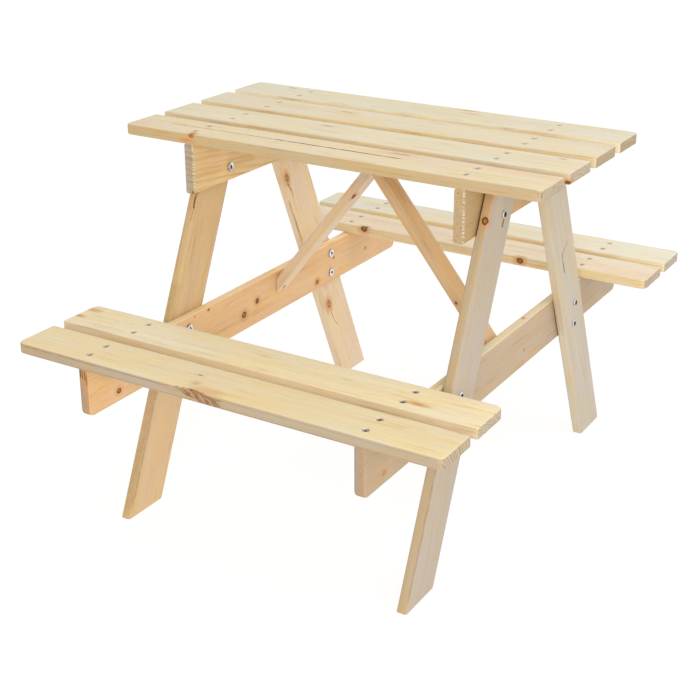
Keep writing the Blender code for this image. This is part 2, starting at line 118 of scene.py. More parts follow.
# Colours of the wood, as the light of day would show it
CREAM = (0.57, 0.468, 0.3)
PALE = (0.555, 0.48, 0.325)
HONEY = (0.6, 0.43, 0.225)
AMBER = (0.58, 0.365, 0.17)
SAND = (0.5, 0.405, 0.3)
ROSE = (0.57, 0.41, 0.27)
STRAW = (0.56, 0.45, 0.215)
HAY = (0.57, 0.462, 0.265)
LILAC = (0.5, 0.405, 0.325)
TAN = (0.47, 0.32, 0.15)
BUFF = (0.43, 0.3, 0.17)
RUST = (0.42, 0.2, 0.07)

# Colours of marks in the wood, of painted shade on the zinc and of the floor
LINE_BROWN = (0.4, 0.245, 0.1)
FLECK_BROWN = (0.42, 0.23, 0.08)
COOL_CAST = (0.985, 1.005, 1.09)
WARM_CAST = (1.015, 0.985, 0.9)
END_RING_BROWN = (0.235, 0.165, 0.11)
END_RING_DARK = (0.13, 0.09, 0.06)
PORE_GREY = (0.24, 0.19, 0.15)
ROUGH_GREY = (0.16, 0.125, 0.1)
TORN_PALE = (0.8, 0.72, 0.5)
HALO_ORANGE = (0.6, 0.285, 0.09)
HEART_ORANGE = (0.5, 0.215, 0.05)
HEART_BROWN = (0.15, 0.052, 0.01)
HEART_RING = (0.22, 0.085, 0.018)
RIM_BLACK = (0.075, 0.026, 0.003)
# Streak brown also draws painted shade lines along gaps and arrises.
STREAK_BROWN = (0.12, 0.048, 0.004)
BARK_PALE = (0.46, 0.28, 0.14)
BARK_RED = (0.33, 0.175, 0.08)
BARK_DARK = (0.13, 0.058, 0.018)
PAINTED_SHADE_BLACK = (0.012, 0.009, 0.011)
FLOOR_GREY = (0.15, 0.15, 0.15)
FLOOR_GLOW = 0.87

# What a knot adds to the wood, and how high above its middle a board's or batten's face lies
KNOT_MARKS = "Swirl, Core, Rim, Halo, Dark"
FACE_LEVEL = 8 * MM


def box_centre(node):
    low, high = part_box(node)
    return (low + high) / 2


def box_size(node):
    low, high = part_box(node)
    return high - low


# Shader trees
class Shader:
    """Adds nodes to one tree by short calls, each of which returns an output socket."""

    def __init__(self, tree):
        self.tree = tree

    def node(self, kind, *values, **settings):
        made = self.tree.nodes.new("ShaderNode" + kind)
        for name, value in settings.items():
            setattr(made, name, value)
        for socket, value in zip(made.inputs, values):
            self.feed(socket, value)
        return made

    def feed(self, socket, value):
        """Links an output to the socket or sets its value; a colour gets its alpha here."""
        if isinstance(value, bpy.types.NodeSocket):
            self.tree.links.new(value, socket)
        else:
            socket.default_value = (*value, 1) if socket.type == "RGBA" else value

    def feed_all(self, node, values):
        for label, value in values.items():
            self.feed(node.inputs[label], value)

    def math(self, operation, *values):
        return self.node("Math", *values, operation=operation).outputs[0]

    def less(self, value, amount):
        return self.math("SUBTRACT", value, amount)

    def total(self, *values):
        result = values[0]
        for value in values[1:]:
            result = self.math("ADD", result, value)
        return result

    def times(self, *values):
        result = values[0]
        for value in values[1:]:
            result = self.math("MULTIPLY", result, value)
        return result

    def vector(self, operation, *values):
        made = self.node("VectorMath", *values, operation=operation)
        return made.outputs["Value" if operation in ("LENGTH", "DOT_PRODUCT") else "Vector"]

    def scaled(self, value, factor):
        made = self.node("VectorMath", value, operation="SCALE")
        self.feed(made.inputs["Scale"], factor)
        return made.outputs["Vector"]

    def split(self, value):
        return self.node("SeparateXYZ", value).outputs

    def joined(self, x, y, z):
        return self.node("CombineXYZ", x, y, z).outputs[0]

    def fade(self, value, start, end, low=0, high=1):
        """Smooth step of the value from low at start to high at end."""
        settings = {"interpolation_type": "SMOOTHSTEP"}
        return self.node("MapRange", value, start, end, low, high, **settings).outputs[0]

    def fall(self, value, start, end):
        """Smooth step of the value from one at start to zero at end."""
        return self.fade(value, start, end, 1, 0)

    def noise(self, value, scale=1, detail=2, rough=0.5, distortion=0):
        made = self.node("TexNoise", noise_dimensions="3D")
        self.feed_all(made, {"Vector": value, "Scale": scale, "Detail": detail})
        self.feed_all(made, {"Roughness": rough, "Distortion": distortion})
        return made.outputs[0]

    def mix(self, factor, first, second, blend="MIX"):
        made = self.node("Mix", data_type="RGBA", blend_type=blend)
        self.feed(made.inputs[0], factor)
        self.feed(made.inputs[6], first)
        self.feed(made.inputs[7], second)
        return made.outputs[2]

    def group(self, tree, **values):
        made = self.node("Group", node_tree=tree)
        self.feed_all(made, values)
        return made.outputs

    def surface(self, shader, colour, roughness, height):
        """Feeds a surface shader, with the height in metres as bump."""
        bump = self.node("Bump")
        self.feed_all(bump, {"Strength": 1, "Distance": 1, "Height": height})
        values = {"Base Color": colour, "Roughness": roughness, "Normal": bump.outputs["Normal"]}
        self.feed_all(shader, values)


def new_group(name, inputs, outputs):
    """An empty node group from labels by kind: its shader, its inputs, its output node."""
    tree = bpy.data.node_groups.new(name, "ShaderNodeTree")
    for side, sockets in (("INPUT", inputs), ("OUTPUT", outputs)):
        for kind, labels in sockets.items():
            for label in labels.split(", "):
                tree.interface.new_socket(label, in_out=side, socket_type="NodeSocket" + kind)
    return Shader(tree), tree.nodes.new("NodeGroupInput").outputs, tree.nodes.new("NodeGroupOutput")


def new_material(name):
    """A material: itself, a Shader on its tree, and its surface shader."""
    material = bpy.data.materials.new(name)
    material.use_nodes = True
    tree = material.node_tree
    return material, Shader(tree), tree.nodes["Principled BSDF"]


def knot_group():
    """A branch that crosses the board along an axis. It adds its marks to those before it."""
    numbers = "Depth, Heart, Tone, Ring, Glow, " + KNOT_MARKS
    inputs = {"Vector": "Point, Place, Axis, Shape", "Float": numbers}
    s, given, result = new_group("Pine knot", inputs, {"Float": KNOT_MARKS})
    away = s.vector("SUBTRACT", given["Point"], given["Place"])
    inward = s.vector("DOT_PRODUCT", away, given["Axis"])
    flat = s.vector("SUBTRACT", away, s.scaled(given["Axis"], inward))
    measured = s.vector("DIVIDE", flat, given["Shape"])
    ragged = s.noise(s.vector("DIVIDE", away, given["Shape"]), 0.9, 3)
    far = s.total(s.vector("LENGTH", measured), s.times(s.less(ragged, 0.5), 0.6))
    held = s.fall(s.math("DIVIDE", s.math("ABSOLUTE", inward), given["Depth"]), 0.9, 1.1)
    core = s.times(s.fall(far, 0.8, 1), held, given["Heart"])
    rim = s.times(s.fade(far, 0.5, 0.8), s.fall(far, 0.98, 1.2), held, given["Ring"])
    halo = s.times(s.fall(far, 0.9, 3.2), held, given["Glow"])
    bulge = s.times(s.fall(far, 0, 3.4), held)
    width = s.math("MINIMUM", s.split(given["Shape"])[1], s.split(given["Shape"])[0])
    found = {"Core": core, "Rim": rim, "Halo": halo, "Dark": s.times(core, given["Tone"])}
    marks = {label: s.math("MAXIMUM", given[label], value) for label, value in found.items()}
    s.feed_all(result, {"Swirl": s.total(given["Swirl"], s.times(bulge, width, 2.4)), **marks})
    return s.tree


def streak_group():
    """A thin dark line near the grain on one face. It draws pitch streaks and drying cracks, and
    painted shade lines along gaps and arrises.
    """
    numbers = "Start, End, Across, Slope, Bow, Width, Level, Reach, Strength, Streak"
    inputs = {"Vector": "Point", "Float": numbers}
    s, given, result = new_group("Pine streak", inputs, {"Float": "Streak"})
    along, across, level = s.split(given["Point"])
    length = s.less(given["End"], given["Start"])
    share = s.math("DIVIDE", s.less(along, given["Start"]), length)
    arch = s.times(share, s.less(1, share), given["Bow"], 4)
    drift = s.times(s.less(s.noise(given["Point"], 55), 0.5), 1.6 * MM)
    line = s.total(given["Across"], s.times(share, given["Slope"]), arch, drift)
    off = s.math("DIVIDE", s.math("ABSOLUTE", s.less(across, line)), given["Width"])
    ends = s.times(s.fade(share, 0, 0.06), s.fall(share, 0.94, 1))
    broken = s.fade(s.noise(given["Point"], 90), 0.25, 0.55, 0.45, 1)
    high = s.math("ABSOLUTE", s.less(level, given["Level"]))
    held = s.fall(s.math("DIVIDE", high, given["Reach"]), 0.8, 1.2)
    mark = s.times(s.fall(off, 0.35, 1), ends, broken, held, given["Strength"])
    s.feed_all(result, {"Streak": s.math("MAXIMUM", given["Streak"], mark)})
    return s.tree


def bark_group():
    """A patch where knotty wood and bark run out at an edge: a mask and its colour."""
    outputs = {"Float": "Patch", "Color": "Color"}
    s, given, result = new_group("Pine bark", {"Vector": "Point, Place, Shape"}, outputs)
    away = s.vector("SUBTRACT", given["Point"], given["Place"])
    along, _, high = s.split(away)
    ragged = s.less(s.noise(away, 95, 3), 0.5)
    sloped = s.vector("ADD", away, s.joined(0, 0, s.times(along, 0.15)))
    far = s.total(s.vector("LENGTH", s.vector("DIVIDE", sloped, given["Shape"])), ragged)
    bent = s.times(s.less(s.noise(away, 120), 0.5), 7 * MM)
    folded = s.times(s.total(s.times(along, 0.6), high, bent), 270)
    layer = s.noise(s.joined(folded, s.times(along, 40), 0), 1, 2, 0.5, 0.4)
    crease = s.fall(s.math("ABSOLUTE", s.less(s.times(layer, 2), 1)), 0.03, 0.15)
    wood = s.mix(s.fade(layer, 0.35, 0.65), BARK_PALE, BARK_RED)
    wood = s.mix(s.times(crease, 0.65), wood, BARK_DARK)
    s.feed_all(result, {"Patch": s.fall(far, 0.75, 1.1), "Color": wood})
    return s.tree


def growth_rings(s, given, stretched):
    """Late wood, a thin line in each ring about the pith, and how far away the pith is."""
    along, across, deep = s.split(given["Point"])
    _, pith_across, pith_deep = s.split(given["Pith"])
    _, tilt_across, tilt_deep = s.split(given["Tilt"])
    sway = s.times(s.less(stretched(4, 12, 1), 0.5), given["Wander"])
    ripple = s.less(stretched(22, 90), 0.5)
    side = s.total(across, s.times(pith_across, -1), s.times(along, tilt_across), sway)
    down = s.total(deep, s.times(pith_deep, -1), s.times(along, tilt_deep))
    reach = s.math("SQRT", s.total(s.times(side, side), s.times(down, down)))
    reach = s.total(reach, s.times(ripple, given["Wander"], 0.16), given["Swirl"])
    years = s.math("DIVIDE", reach, given["Ring width"])
    uneven = s.noise(s.joined(years, s.split(given["Seed"])[0], 0), 0.55, 1)
    years = s.total(years, s.times(uneven, 1.5))
    year = s.math("FRACT", years)
    summer = s.times(s.fade(year, 0.35, 0.88), s.fall(year, 0.93, 1))
    strength = s.noise(s.joined(s.math("FLOOR", years), 3.7, s.split(given["Seed"])[1]), 1.7, 0)
    return s.times(summer, s.fade(strength, 0.2, 0.8, 0.3, 1)), reach


def planed_face(s, given, stretched, summer, fibre, fine):
    """Rings, clouds, fibres at several widths, and thin broken lines that follow them; then painted
    light and shade on the faces across the grain.
    """
    crest = s.math("ABSOLUTE", s.less(s.times(stretched(3, 130, 1), 2), 1))
    line = s.times(s.fall(crest, 0.02, 0.11), s.fade(stretched(16, 90), 0.46, 0.68))
    fleck = s.fade(stretched(42, 620, 1), 0.67, 0.77)
    warmth = s.total(s.times(stretched(9, 45), 0.6), s.times(stretched(30, 110), 0.4))
    warmth = s.fade(warmth, 0.38, 0.62)
    faded = s.fade(stretched(7, 80), 0.35, 0.65, 0.45, 1)
    wood = s.mix(s.times(summer, faded, given["Contrast"]), given["Early"], given["Late"])
    wood = s.mix(s.fade(stretched(6, 30), 0.46, 0.74, 0, 0.65), wood, given["Blush"])
    wood = s.mix(s.fade(stretched(2.5, 55), 0.35, 0.75, 0, 0.13), wood, given["Late"])
    wood = s.mix(s.times(line, given["Lines"]), wood, LINE_BROWN)
    shade = s.total(0.93, s.times(s.less(fibre, 0.5), 0.2), s.times(fine, 0.09))
    shade = s.total(shade, s.times(s.less(stretched(5, 240), 0.46), 0.13))
    wood = s.mix(1, wood, s.joined(shade, shade, shade), "MULTIPLY")
    wood = s.mix(s.times(fleck, 0.42), wood, FLECK_BROWN)
    wood = s.mix(1, wood, s.mix(warmth, COOL_CAST, WARM_CAST), "MULTIPLY")
    wood = s.mix(1, wood, given["Tint"], "MULTIPLY")
    # Painted light and shade: the faces across the grain are made lighter or darker by the piece's
    # edge factor.
    edge = s.fade(given["Facing edge"], 0.4, 0.9)
    return s.mix(edge, wood, s.mix(1, wood, given["Edge tint"], "MULTIPLY"))


def sawn_end(s, given, seeded, wood, summer):
    """Adds sawn ends: darker and greyer, with open pores, clear rings and torn fibres."""
    end = s.fade(given["Facing end"], 0.55, 0.85)
    pores = s.noise(seeded, 1500)
    rough_spots = s.noise(seeded, 420, 3)
    banded = s.times(s.less(s.noise(seeded, 160), 0.5), 9 * MM)
    level = s.fade(s.total(s.split(given["Point"])[2], banded), -3.5 * MM, 3.5 * MM)
    sawn = s.mix(level, given["End below"], given["End above"])
    sawn = s.mix(s.times(summer, given["End rings"]), sawn, END_RING_BROWN)
    sawn = s.mix(s.fade(pores, 0.35, 0.65, 0, 0.35), sawn, PORE_GREY)
    sawn = s.mix(s.fade(rough_spots, 0.52, 0.66, 0, 0.45), sawn, ROUGH_GREY)
    wood = s.mix(s.times(end, 0.66), wood, sawn)
    wood = s.mix(s.times(end, summer, given["End rings"], 0.45), wood, END_RING_DARK)
    return s.mix(s.times(given["Torn"], 0.85), wood, TORN_PALE), end, pores, rough_spots


def marked(s, given, wood, reach):
    """Adds knots, streaks and bark to the wood."""
    wood = s.mix(s.times(given["Halo"], 0.8), wood, HALO_ORANGE)
    age = s.math("FRACT", s.times(reach, 1100))
    heart = s.mix(given["Dark"], HEART_ORANGE, HEART_BROWN)
    heart = s.mix(s.fade(age, 0.2, 0.9, 0, 0.4), heart, HEART_RING)
    wood = s.mix(s.times(given["Core"], 0.95), wood, heart)
    wood = s.mix(given["Rim"], wood, RIM_BLACK)
    wood = s.mix(given["Streak"], wood, STREAK_BROWN)
    return s.mix(given["Patch"], wood, given["Patch color"])


def pine_group():
    """Sawn pine: growth rings about a pith, fibres, flecks, knots and end grain, with painted light
    and shade on its edges and along some dark lines.
    """
    inputs = {
        "Vector": "Point, Pith, Tilt, Seed",
        "Color": "Tint, Edge tint, Early, Late, Blush, Patch color, End below, End above",
        "Float": "Facing end, Facing edge, Ring width, Wander, Contrast, Lines, End rings, "
        "Streak, Torn, Patch, " + KNOT_MARKS,
    }
    outputs = {"Color": "Color", "Float": "Roughness, Height"}
    s, given, result = new_group("Pine", inputs, outputs)
    seeded = s.vector("ADD", given["Point"], given["Seed"])

    def stretched(run, thin, detail=2, rough=0.5):
        return s.noise(s.vector("MULTIPLY", seeded, (run, thin, thin)), 1, detail, rough)

    summer, reach = growth_rings(s, given, stretched)
    fibre = stretched(14, 820, 3, 0.6)
    fine = stretched(60, 3200)
    wood = planed_face(s, given, stretched, summer, fibre, fine)
    wood, end, pores, rough_spots = sawn_end(s, given, seeded, wood, summer)
    rough = s.total(0.5, s.times(fibre, 0.16), s.times(summer, -0.05), s.times(end, 0.22))
    rough = s.total(rough, s.times(given["Core"], -0.12), s.times(given["Patch"], 0.15))
    relief = s.total(
        s.times(fibre, 0.03), s.times(fine, 0.016), s.times(summer, 0.035),
        s.times(given["Core"], 0.06), s.times(given["Rim"], -0.12), s.times(given["Streak"], -0.04),
        s.times(end, s.total(s.times(pores, 0.24), s.times(rough_spots, 0.35))),
        s.times(given["Patch"], rough_spots, 0.8), s.times(given["Torn"], 0.2),
    )
    values = {"Roughness": rough, "Height": s.times(relief, MM)}
    s.feed_all(result, {"Color": marked(s, given, wood, reach), **values})
    return s.tree


KNOT = knot_group()
STREAK = streak_group()
BARK = bark_group()
PINE = pine_group()

UP = (0, 0, 1)
FRONT = (0, 1, 0)
ALONG = (1, 0, 0)
STREAK_LENGTHS = ("start", "end", "across", "width", "slope", "bow", "reach")


@dataclass
class Knot:
    """A knot in its piece's own frame, in millimetres: along the grain, across, deep.

    The tone darkens its heart, the ring its rim, and the glow is the orange about it.
    """

    along: float
    across: float
    deep: float
    size: float
    tone: float
    ring: float
    glow: float
    stretch: float = 1.2
    thin: float = 1
    heart: float = 1
    axis: tuple = UP
    depth: float = 40


@dataclass
class Streak:
    """A dark line near the grain, in millimetres, on the upper face or on the edge given."""

    start: float
    end: float
    across: float
    width: float
    strength: float
    slope: float = 0
    bow: float = 0
    edge: float = None
    reach: float = 4


@dataclass
class Bark:
    """A patch of bark and swirling grain, in millimetres: its middle and half sizes."""

    middle: tuple
    shape: tuple


@dataclass
class Grain:
    """How a piece was cut from its log, in millimetres, its colours, and the painted light and shade
    on its edges.
    """

    pith: tuple
    ring: float
    tint: tuple
    # Painted light and shade: the factor by which the faces across the grain are made lighter or
    # darker.
    edge: tuple
    early: tuple
    late: tuple
    blush: tuple
    contrast: float
    tilt: tuple = (0, 0)
    wander: float = 8
    lines: float = 0.5
    ends: tuple = ((0.38, 0.31, 0.225), (0.38, 0.31, 0.225))
    end_rings: float = 0.8
    torn_ends: bool = False


WOOD = {}
WOOD["tabletop_board_1"] = (
    Grain(
        (12, -55), 5.5, (1.21, 1.24, 1.24), (0.79, 0.69, 0.56), CREAM, TAN, ROSE, 0.16, end_rings=0.4,
    ),
    Knot(-204, -35, 5, 2, 0.25, 0.4, 1, stretch=1.8, axis=(0, 1, 0.6), depth=14),
    Knot(-213, -36, -2, 1.6, 0.5, 0.1, 1, heart=0.2, stretch=4, axis=FRONT, depth=6),
    Knot(317, -35, 1.5, 3.4, 1, 0.3, 0, heart=0.5, stretch=0.16, axis=FRONT, depth=5),
    Knot(320.5, -32, 0.5, 4.2, 1, 0.3, 0, heart=0.5, stretch=0.14, axis=FRONT, depth=5),
    Knot(322.5, 1.1, 3.7, 1, 0.9, 0.9, 0.3, axis=ALONG, depth=3),
    Streak(-272, -85, 2, 1.5, 0.8, slope=1.2),
    Streak(-96, 112, 3.1, 2.5, 1, slope=1.4),
    Streak(78, 112, 27, 0.5, 0.4, slope=-4),
    Knot(96, 24, 8, 2.2, 0, 0, 0.5, stretch=7, depth=3),
)
WOOD["tabletop_board_2"] = (
    Grain((-14, -48), 6, (1.21, 1.29, 1.36), (1, 0.9, 0.8), CREAM, TAN, PALE, 0.14, end_rings=0.3),
    Knot(-67, 16, 7, 1.4, 0.6, 0.5, 0.5, stretch=5.5, depth=4),
    Knot(287, 25, 7, 1.2, 0.5, 0.4, 0.5, stretch=3.6, depth=4),
    Knot(319, -35, -4.5, 2.5, 0.9, 0.8, 1, stretch=1.3, axis=(0, 1, 0.3), depth=10),
)
WOOD["tabletop_board_3"] = (
    Grain(
        (6, -62), 6.5, (1.19, 1.25, 1.31), (1.1, 1, 0.87), CREAM, TAN, PALE, 0.13, end_rings=0.3,
        ends=((0.31, 0.175, 0.05), (0.34, 0.2, 0.07)),
    ),
    Knot(-89, 15, 7, 1.5, 0.4, 0.35, 0.5, stretch=6.5, depth=4),
)
WOOD["tabletop_board_4"] = (
    Grain(
        (-4, -58), 6, (1.2, 1.27, 1.35), (1.2, 1.15, 1.1), PALE, TAN, CREAM, 0.13, end_rings=0.4,
        ends=((0.29, 0.135, 0.02), (0.32, 0.16, 0.03)),
    ),
    Knot(-249, 22, 7, 1.4, 0.45, 0.3, 0.8, stretch=3.4, depth=4),
    Knot(61, 28, 7, 1.3, 0.1, 0.1, 1, stretch=7, depth=4),
    Knot(74, 11, 7, 1, 0, 0, 0.8, stretch=9, depth=4),
)
WOOD["bench_board_front_outer"] = (
    Grain(
        (-92, -48), 4.6, (1.29, 1.31, 1.23), (0.64, 0.6, 0.64), CREAM, TAN, HONEY, 0.12, lines=0.35,
        end_rings=1.1,
    ),
    Bark((-19, -35, 2), (37, 5, 7)),
    Knot(-12, -27, 8, 4.4, 0.5, 0, 0.6, heart=0, stretch=2.6, depth=4),
    Knot(-37, -14.7, 8, 1, 0.8, 0.5, 0.35, stretch=1.1, depth=9),
    Knot(-37, -14.7, 8, 4, 0.5, 0.12, 0.4, heart=0, stretch=1.1, depth=9),
    Streak(-322, -60, 4.6, 0.7, 0.6, edge=-35, reach=3),
    Streak(-60, 322, 4.6, 0.5, 0.3, edge=-35, reach=3),
    Streak(-322, 322, -5.6, 0.8, 0.35, edge=-35, reach=3),
    Streak(-40, 18, 5.6, 1.5, 0.7, slope=-2.4, edge=-35),
    Knot(-47, 7, 8, 0.9, 0.8, 0.6, 0.3, stretch=4.2, depth=3),
)
WOOD["bench_board_front_inner"] = (
    Grain(
        (-34, -60), 3.4, (1.38, 1.45, 1.47), (0.88, 0.78, 0.71), CREAM, TAN, HAY, 0.19, tilt=(0.01, 0),
    ),
    Knot(230, -13, 8, 2.2, 0, 0, 1, heart=0.45, stretch=4, depth=4),
    Knot(-312, 18, 8, 3, 0.5, 0, 0.8, heart=0.25, stretch=2.4, depth=4),
    Knot(-316, -8, 8, 2.2, 0.2, 0.2, 0.8, heart=0.4, stretch=2.4, depth=4),
)
WOOD["bench_board_rear_inner"] = (
    Grain((10, -58), 5, (1.33, 1.38, 1.53), (1.01, 0.95, 0.74), CREAM, TAN, ROSE, 0.15),
    Knot(-175, -36, 4.6, 4.6, 0.6, 0.9, 0.9, axis=(0, 1, 0.3), depth=10),
    Knot(114, -36, 1, 4.4, 0.55, 0.9, 1, axis=FRONT, depth=8),
)
WOOD["bench_board_rear_outer"] = (
    Grain((-9, -64), 5.5, (1.33, 1.44, 1.63), (1.1, 1, 0.84), PALE, TAN, CREAM, 0.13),
)
WOOD["top_batten_left"] = (
    Grain(
        (-90, -14), 8, (1.29, 1.34, 1.33), (1, 0.95, 0.9), HONEY, RUST, AMBER, 0.8, lines=0.3,
        tilt=(0.09, 0), wander=24, torn_ends=True, end_rings=0.3,
        ends=((0.33, 0.28, 0.27), (0.27, 0.24, 0.22)),
    ),
    Knot(-164, -33.5, 4, 2, 1, 0.6, 0.6, heart=0.8, axis=ALONG, depth=7),
)
WOOD["top_batten_right"] = (
    Grain(
        (-70, 20), 5, (0.99, 0.84, 0.55), (1, 0.95, 0.9), SAND, BUFF, HONEY, 0.4, wander=10,
        torn_ends=True, end_rings=0.1, ends=((0.56, 0.4, 0.22), (0.56, 0.41, 0.24)),
    ),
    Knot(-164, 30, -2, 1.2, 0.5, 0.4, 0.2, heart=0.4, axis=ALONG, depth=4),
    Knot(-164, 27, 3, 1, 0.5, 0.3, 0.2, heart=0.3, axis=ALONG, depth=4),
    Knot(-164, -14, 3, 1, 0.4, 0.2, 0.5, axis=ALONG, depth=4),
)
WOOD["seat_rail_left"] = (
    Grain(
        (-14, -40), 5, (1.24, 1.12, 1.07), (1.2, 1.45, 1.7), HONEY, AMBER, AMBER, 0.35, wander=12,
        end_rings=0.1, ends=((0.26, 0.21, 0.13), (0.4, 0.19, 0.11)),
    ),
    Knot(-57.7, -8.1, 8, 4.6, 0.5, 1, 1, stretch=1.1),
    Knot(-22.8, 3.1, 8, 3.8, 0.85, 1, 1, stretch=1.1),
    Knot(200, 5.9, 8, 1.8, 0.9, 0.9, 0.6, stretch=1),
    Knot(148, -20.7, 8, 3.6, 0.35, 0.8, 1),
    Knot(-347, -18.4, 8, 3.3, 0.4, 1, 1),
    Knot(-406, 28, -3.6, 6.5, 0.7, 0.9, 0.5, thin=0.13, axis=ALONG, depth=6),
    Knot(-406, 27, -0.6, 6, 0.8, 0.9, 0.6, thin=0.13, axis=ALONG, depth=6),
    Knot(-406, 26, 3.4, 8, 0.6, 0.9, 0.8, thin=0.1, axis=ALONG, depth=6),
    Knot(-406, 20, 5.6, 9, 0.3, 0.4, 0.8, thin=0.08, axis=ALONG, depth=6),
    Knot(-177.6, 30.5, 8, 1.1, 0.9, 0.6, 0.4, stretch=1),
    Knot(-144.6, 30, 8, 1.5, 0.9, 0.8, 0.4, stretch=1.8),
    Knot(303, -7.3, 8, 1.6, 0.7, 0.7, 0.9),
)
WOOD["seat_rail_right"] = (
    Grain(
        (-30, -50), 5, (0.94, 0.88, 0.78), (1.45, 1.7, 1.8), SAND, BUFF, ROSE, 0.3, wander=10,
        end_rings=0.1, ends=((0.38, 0.3, 0.22), (0.5, 0.26, 0.11)),
    ),
    Knot(-360, -18.5, 8, 3.4, 0.3, 0.35, 0.5, heart=0.45),
    Knot(41.5, -9, 8, 1.8, 0.4, 0.4, 0.7),
    Knot(53.8, 34.5, -1, 1.8, 0.5, 0.5, 0.8, axis=FRONT),
)
WOOD["leg_front_left"] = (
    Grain((46, -30), 3, (1.09, 1.06, 1.09), (0.94, 0.94, 0.88), HONEY, AMBER, STRAW, 0.5, wander=5),
    Streak(157, 182, 5, 1.9, 0.95, slope=0.6, bow=-0.8, edge=34, reach=6),
    Streak(138, 160, 4.6, 1, 0.4, slope=0.6, edge=34, reach=6),
    Streak(150, 250, -3, 5, 0.12, edge=34, reach=6),
    Streak(-285, -60, 32, 1.5, 0.45, slope=1),
    Streak(-300, 60, 0.5, 11, 0.2, edge=34, reach=6),
    Streak(-290, -150, 4, 3, 0.2, edge=34, reach=5),
    Knot(168, 34.5, 3, 5, 0.5, 0, 0.35, heart=0, stretch=3, axis=FRONT, depth=4),
    Knot(-43, 34.5, 0, 4.5, 0.5, 0, 0.3, heart=0, stretch=2.4, axis=FRONT, depth=4),
)
WOOD["leg_rear_left"] = (
    Grain((20, -44), 4, (1.32, 1.41, 1.41), (0.94, 0.95, 1), ROSE, AMBER, ROSE, 0.35, wander=9),
    Knot(169.6, 24.8, 8, 4, 0, 0.45, 1, stretch=1.8),
    Knot(-111.4, 16.6, 8, 4.8, 0, 0.45, 1, stretch=1.7),
    Streak(130, 161, 23, 1.6, 1, slope=4.2, bow=-1),
    # Painted shade: a dark line on the arris between the leg's side face and its edge.
    Streak(44, 133, 33.4, 0.7, 0.5, slope=0.6),
    Streak(-168, -122, 9, 0.9, 0.9, slope=7, bow=3),
)
WOOD["leg_front_right"] = (
    Grain(
        (-24, 52), 4.2, (0.93, 0.95, 0.91), (1.05, 0.96, 0.75), LILAC, BUFF, SAND, 0.08, wander=5,
        lines=0.06,
    ),
    Knot(213, 34.5, 2.1, 4, 0.35, 1, 0.8, axis=FRONT, depth=8),
    Streak(211.5, 224.5, -11, 3.4, 0.85),
    Streak(-290, -20, 6, 1.5, 0.3, edge=34, reach=6),
    # Painted shade: a dark line on the leg's edge face beside the batten, where the gap between them
    # lies.
    Streak(190, 285, -6.5, 2, 1, edge=34, reach=5),
    Knot(238, 34.5, 3, 6, 0.5, 0, 0.45, heart=0, stretch=1.6, axis=FRONT, depth=4),
)
WOOD["leg_rear_right"] = (
    Grain(
        (30, 48), 4.6, (1.03, 1.12, 1.19), (1.15, 1.1, 0.98), SAND, BUFF, ROSE, 0.16, wander=7,
        lines=0.2,
    ),
    Streak(64, 102, 11, 1.5, 1, bow=0.6),
    Streak(99, 108, 12, 3, 1, slope=-23),
    # Painted shade: a dark line on the leg's edge face beside the rail, where the gap between them
    # lies.
    Streak(-66, 11, -6.6, 0.9, 0.9, edge=34, reach=5),
)
WOOD["brace_left"] = (
    Grain((30, 18), 3.6, (1.21, 1.26, 1.33), (1.12, 1.14, 1.19), ROSE, BUFF, HONEY, 0.35, wander=5),
    Knot(49.4, 0.8, 15, 1.4, 1, 0.6, 0.8, stretch=3.4, depth=6),
)
WOOD["brace_right"] = (
    Grain((-26, -22), 3.6, (1.06, 1, 0.98), (1.1, 1.06, 1), HONEY, BUFF, AMBER, 0.4, wander=5),
    Knot(-86.6, -5.8, 15, 2, 1, 0.5, 0.8, depth=6),
)


def of_kind(marks, kind):
    return [mark for mark in marks if isinstance(mark, kind)]


def add_knots(s, point, marks):
    found = dict.fromkeys(KNOT_MARKS.split(", "), 0)
    for knot in of_kind(marks, Knot):
        middle = Vector((knot.along, knot.across, knot.deep)) * MM
        shape = Vector((knot.stretch, 1, knot.thin)) * knot.size * MM
        outputs = s.group(
            KNOT, Point=point, Place=middle, Axis=Vector(knot.axis).normalized(),
            Shape=shape, Depth=knot.depth * MM, Heart=knot.heart, Tone=knot.tone,
            Ring=knot.ring, Glow=knot.glow, **found,
        )
        found = {label: outputs[label] for label in found}
    return found


def add_streaks(s, point, marks):
    along, across, deep = s.split(point)
    turned_point = s.joined(along, deep, across)
    line = 0
    for streak in of_kind(marks, Streak):
        on_face = streak.edge is None
        line = s.group(
            STREAK, Point=point if on_face else turned_point,
            Level=FACE_LEVEL if on_face else streak.edge * MM,
            Strength=streak.strength, Streak=line,
            **{label.title(): getattr(streak, label) * MM for label in STREAK_LENGTHS},
        )["Streak"]
    return line


def torn_fibres(s, point, length, thickness):
    """Pale torn wood on the arris between the sawn ends and the face that is seen."""
    along, across, deep = s.split(point)
    near_end = s.fade(s.math("ABSOLUTE", along), length / 2 - 3.5 * MM, length / 2 - 1.5 * MM)
    near_face = s.fade(deep, thickness / 2 - 3.5 * MM, thickness / 2 - 1.5 * MM)
    teeth = s.noise(s.joined(s.times(along, 160), s.times(across, 420), 0), 1, 3, 0.7)
    return s.times(near_end, near_face, s.fade(teeth, 0.47, 0.58))


